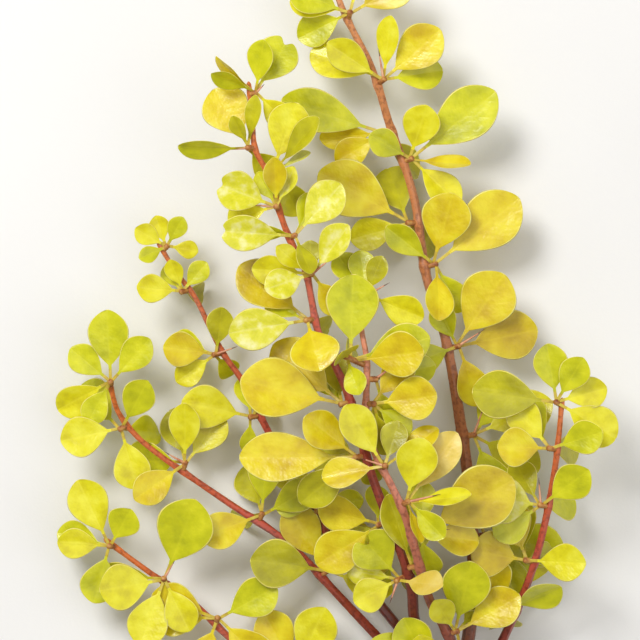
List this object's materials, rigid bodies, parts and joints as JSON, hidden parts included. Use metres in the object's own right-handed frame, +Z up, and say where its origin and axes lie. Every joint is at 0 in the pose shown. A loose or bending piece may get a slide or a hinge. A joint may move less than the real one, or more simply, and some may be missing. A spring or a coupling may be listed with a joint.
{
  "type": "cut branch of golden japanese barberry",
  "caption": "Cut branch of a golden-leaved Japanese barberry lying down: a forked woody base with seven thorny shoots and twigs and fifty clusters of yellow leaves.",
  "frame": {"origin": "middle of the underside of the branch's box, on the surface that it lies on", "axes": "+Y along the branch from the cut end to the tips, +X to the right seen from above, +Z up"},
  "size_m": [0.1592, 0.2538, 0.0449],
  "materials": {
    "leaf": "satin",
    "young_bark": "satin",
    "old_bark": "rough",
    "thorn": "satin",
    "cut_wood": "matte"
  },
  "bodies": {
    "root": {"base_limb": "old_bark", "main_shoot": "young_bark", "second_shoot": "young_bark", "right_shoot": "young_bark", "left_shoot": "young_bark", "left_twig": "young_bark", "low_left_twig": "young_bark", "low_right_twig": "young_bark", "base_limb_leaves_01": "leaf", "left_shoot_leaves_01": "leaf", "left_shoot_leaves_02": "leaf", "left_shoot_leaves_03": "leaf", "left_shoot_leaves_04": "leaf", "left_shoot_leaves_05": "leaf", "left_twig_leaves_01": "leaf", "left_twig_leaves_02": "leaf", "left_twig_leaves_03": "leaf", "left_twig_leaves_04": "leaf", "left_twig_leaves_05": "leaf", "low_left_twig_leaves_01": "leaf", "low_left_twig_leaves_02": "leaf", "low_left_twig_leaves_03": "leaf", "low_left_twig_leaves_04": "leaf", "low_right_twig_leaves_01": "leaf", "low_right_twig_leaves_02": "leaf", "low_right_twig_leaves_03": "leaf", "low_right_twig_leaves_04": "leaf", "low_right_twig_leaves_05": "leaf", "main_shoot_leaves_01": "leaf", "main_shoot_leaves_02": "leaf", "main_shoot_leaves_03": "leaf", "main_shoot_leaves_04": "leaf", "main_shoot_leaves_05": "leaf", "main_shoot_leaves_06": "leaf", "main_shoot_leaves_07": "leaf", "main_shoot_leaves_08": "leaf", "main_shoot_leaves_09": "leaf", "main_shoot_leaves_10": "leaf", "main_shoot_leaves_11": "leaf", "right_shoot_leaves_01": "leaf", "right_shoot_leaves_02": "leaf", "right_shoot_leaves_03": "leaf", "right_shoot_leaves_04": "leaf", "right_shoot_leaves_05": "leaf", "right_shoot_leaves_06": "leaf", "right_shoot_leaves_07": "leaf", "right_shoot_leaves_08": "leaf", "right_shoot_leaves_09": "leaf", "right_shoot_leaves_10": "leaf", "second_shoot_leaves_01": "leaf", "second_shoot_leaves_02": "leaf", "second_shoot_leaves_03": "leaf", "second_shoot_leaves_04": "leaf", "second_shoot_leaves_05": "leaf", "second_shoot_leaves_06": "leaf", "second_shoot_leaves_07": "leaf", "second_shoot_leaves_08": "leaf", "second_shoot_leaves_09": "leaf"}
  },
  "joints": []
}
